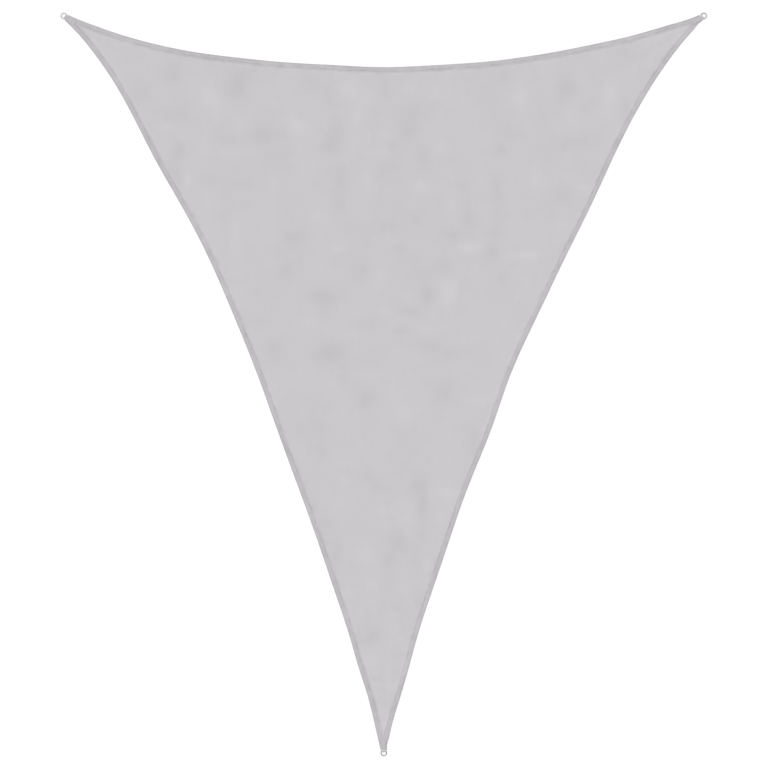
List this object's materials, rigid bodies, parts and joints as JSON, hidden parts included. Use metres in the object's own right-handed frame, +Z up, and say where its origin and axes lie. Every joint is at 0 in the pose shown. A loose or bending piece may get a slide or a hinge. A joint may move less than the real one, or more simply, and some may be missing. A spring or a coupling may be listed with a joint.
{
  "type": "triangular shade sail",
  "caption": "Triangular shade sail of light grey cloth with hollowed, hemmed edges and a steel D-ring in a webbing loop at each corner, lying flat.",
  "frame": {"origin": "on the surface the sail lies on, under the middle of its bounding box", "axes": "+Z up from the surface, +Y from the long tip to the short top edge, +X to the right seen from above"},
  "size_m": [4.0092, 4.6113, 0.0096],
  "materials": {
    "sail_fabric": "light grey coated polyester cloth, matte",
    "loop_webbing": "light grey woven webbing, matte",
    "ring_steel": "polished stainless wire"
  },
  "bodies": {
    "root": {"sail_cloth": "sail_fabric", "loop_left": "loop_webbing", "loop_tip": "loop_webbing", "loop_right": "loop_webbing", "ring_left": "ring_steel", "ring_tip": "ring_steel", "ring_right": "ring_steel"}
  },
  "joints": []
}
